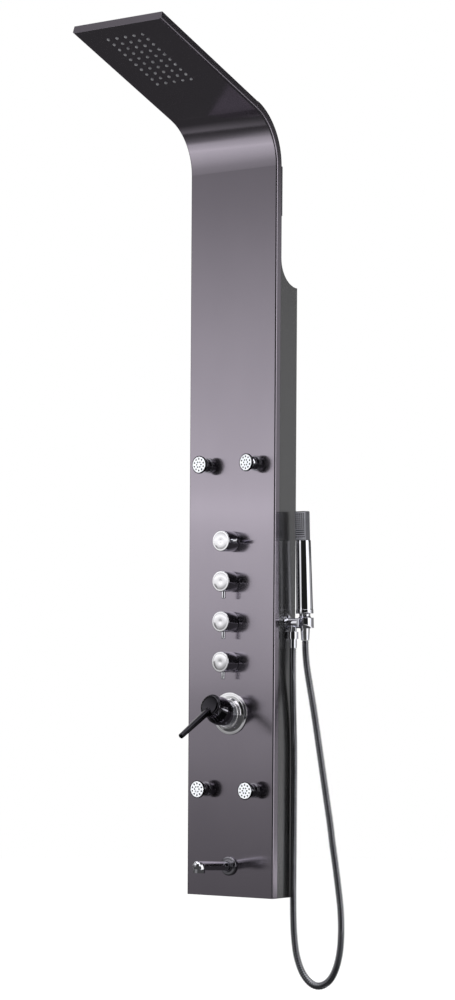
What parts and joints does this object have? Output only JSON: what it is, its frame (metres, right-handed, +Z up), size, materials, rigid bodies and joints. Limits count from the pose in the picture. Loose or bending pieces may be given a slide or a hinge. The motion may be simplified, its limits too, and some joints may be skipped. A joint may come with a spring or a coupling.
{
  "type": "rainfall shower column",
  "caption": "Wall-hung rainfall shower column: folded steel panel bending into a rain arm, with body jets, stop valves, lever mixer, tub spout and a hand shower on a hose",
  "frame": {"origin": "middle of the two screw holes of the upper wall bracket, on the wall", "axes": "+X to the right of a person facing the column, +Y into the wall, +Z up"},
  "size_m": [0.321, 0.436, 1.7398],
  "materials": {
    "panel_steel": "brushed stainless steel with a dark mauve-grey tint",
    "housing_steel": "satin dark grey",
    "cover_steel": "brushed dark stainless",
    "zinc_plate": "zinc-plated steel sheet",
    "chrome_trim": "polished chrome",
    "black_mirror": "polished, dark reflection",
    "raw_brass": "raw machined brass",
    "copper_pipe": "drawn copper",
    "pale_silicone": "soft grey silicone",
    "black_moulding": "black moulded plastic",
    "white_spray_face": "white moulded plastic",
    "grey_spray_head": "dark grey gloss plastic",
    "ceramic": "ivory cartridge plastic",
    "hose_steel": "spiral-wound chromed hose"
  },
  "bodies": {
    "column": {"front_panel": "panel_steel", "rear_housing": "housing_steel", "bottom_cap": "housing_steel", "neck_cover": "housing_steel", "bend_cover": "cover_steel", "arm_lid": "cover_steel", "hanging_rails": "zinc_plate", "wall_bracket_upper": "zinc_plate", "wall_bracket_lower": "zinc_plate", "rain_chamber": "black_moulding", "rain_nozzles": "pale_silicone", "rain_feed_tube": "black_moulding", "rain_feed_elbow": "raw_brass", "jet_sockets": "chrome_trim", "lock_nuts": "raw_brass", "jet_pipework": "copper_pipe", "valve_manifold": "raw_brass", "valve_bonnets": "raw_brass", "valve_collars": "chrome_trim", "mixer_body": "raw_brass", "mixer_cartridge": "ceramic", "mixer_escutcheon": "chrome_trim", "mixer_bonnet": "chrome_trim", "spout_pipe": "copper_pipe", "spout_flange": "chrome_trim", "spout_tube": "chrome_trim", "spout_aerator": "black_moulding", "hand_pipe": "copper_pipe", "outlet_elbow": "chrome_trim", "holder_ring": "chrome_trim", "hose_nut_outlet": "chrome_trim", "hose_tube": "hose_steel"},
    "jet_ball_ul": {"jet_ball_ul": "chrome_trim"},
    "jet_head_ul": {"jet_head_ul": "white_spray_face"},
    "jet_ball_ur": {"jet_ball_ur": "chrome_trim"},
    "jet_head_ur": {"jet_head_ur": "white_spray_face"},
    "jet_ball_ll": {"jet_ball_ll": "chrome_trim"},
    "jet_head_ll": {"jet_head_ll": "white_spray_face"},
    "jet_ball_lr": {"jet_ball_lr": "chrome_trim"},
    "jet_head_lr": {"jet_head_lr": "white_spray_face"},
    "knob_1": {"valve_stem_1": "raw_brass", "knob_1": "chrome_trim", "knob_pin_1": "chrome_trim"},
    "knob_2": {"valve_stem_2": "raw_brass", "knob_2": "chrome_trim", "knob_pin_2": "chrome_trim"},
    "knob_3": {"valve_stem_3": "raw_brass", "knob_3": "chrome_trim", "knob_pin_3": "chrome_trim"},
    "knob_4": {"valve_stem_4": "raw_brass", "knob_4": "chrome_trim", "knob_pin_4": "chrome_trim"},
    "mixer_turn": {"mixer_core": "ceramic", "mixer_tilt_pin": "zinc_plate"},
    "mixer_lever": {"mixer_stem": "zinc_plate", "mixer_hub": "black_mirror", "mixer_rod": "black_mirror"},
    "hand_shower": {"hand_grip": "chrome_trim", "hand_head": "grey_spray_head", "hose_nut_hand": "chrome_trim"}
  },
  "joints": [
    {"name": "jet_ul_pan", "type": "hinge", "parent": "column", "child": "jet_ball_ul", "pos_m": [-0.0555, -0.097, -0.2535], "axis": [0, 0, 1], "range_deg": [-20, 20]},
    {"name": "jet_ul_tilt", "type": "hinge", "parent": "jet_ball_ul", "child": "jet_head_ul", "pos_m": [-0.0555, -0.097, -0.2535], "axis": [1, 0, 0], "range_deg": [-15, 15]},
    {"name": "jet_ur_pan", "type": "hinge", "parent": "column", "child": "jet_ball_ur", "pos_m": [0.0555, -0.097, -0.2535], "axis": [0, 0, 1], "range_deg": [-12, 28]},
    {"name": "jet_ur_tilt", "type": "hinge", "parent": "jet_ball_ur", "child": "jet_head_ur", "pos_m": [0.0555, -0.097, -0.2535], "axis": [0.9903, -0.1392, 0], "range_deg": [-15, 15]},
    {"name": "jet_ll_pan", "type": "hinge", "parent": "column", "child": "jet_ball_ll", "pos_m": [-0.0555, -0.097, -0.8605], "axis": [0, 0, 1], "range_deg": [-20, 20]},
    {"name": "jet_ll_tilt", "type": "hinge", "parent": "jet_ball_ll", "child": "jet_head_ll", "pos_m": [-0.0555, -0.097, -0.8605], "axis": [1, 0, 0], "range_deg": [-15, 15]},
    {"name": "jet_lr_pan", "type": "hinge", "parent": "column", "child": "jet_ball_lr", "pos_m": [0.0555, -0.097, -0.8605], "axis": [0, 0, 1], "range_deg": [-20, 20]},
    {"name": "jet_lr_tilt", "type": "hinge", "parent": "jet_ball_lr", "child": "jet_head_lr", "pos_m": [0.0555, -0.097, -0.8605], "axis": [1, 0, 0], "range_deg": [-15, 15]},
    {"name": "knob_1_turn", "type": "hinge", "parent": "column", "child": "knob_1", "pos_m": [0, -0.086, -0.3975], "axis": [0, -1, 0], "range_deg": [-90, 0]},
    {"name": "knob_2_turn", "type": "hinge", "parent": "column", "child": "knob_2", "pos_m": [0, -0.086, -0.4725], "axis": [0, -1, 0], "range_deg": [0, 90]},
    {"name": "knob_3_turn", "type": "hinge", "parent": "column", "child": "knob_3", "pos_m": [0, -0.086, -0.5475], "axis": [0, -1, 0], "range_deg": [0, 90]},
    {"name": "knob_4_turn", "type": "hinge", "parent": "column", "child": "knob_4", "pos_m": [0, -0.086, -0.6225], "axis": [0, -1, 0], "range_deg": [0, 90]},
    {"name": "mixer_turn", "type": "hinge", "parent": "column", "child": "mixer_turn", "pos_m": [0, -0.086, -0.7185], "axis": [0, -1, 0], "range_deg": [-45, 45]},
    {"name": "mixer_lift", "type": "hinge", "parent": "mixer_turn", "child": "mixer_lever", "pos_m": [0, -0.106, -0.7185], "axis": [-1, 0, 0], "range_deg": [-20, 5]},
    {"name": "hand_shower_lift", "type": "slide", "parent": "column", "child": "hand_shower", "axis": [0, -0.0436, 0.999], "range_m": [0, 0.06]}
  ]
}
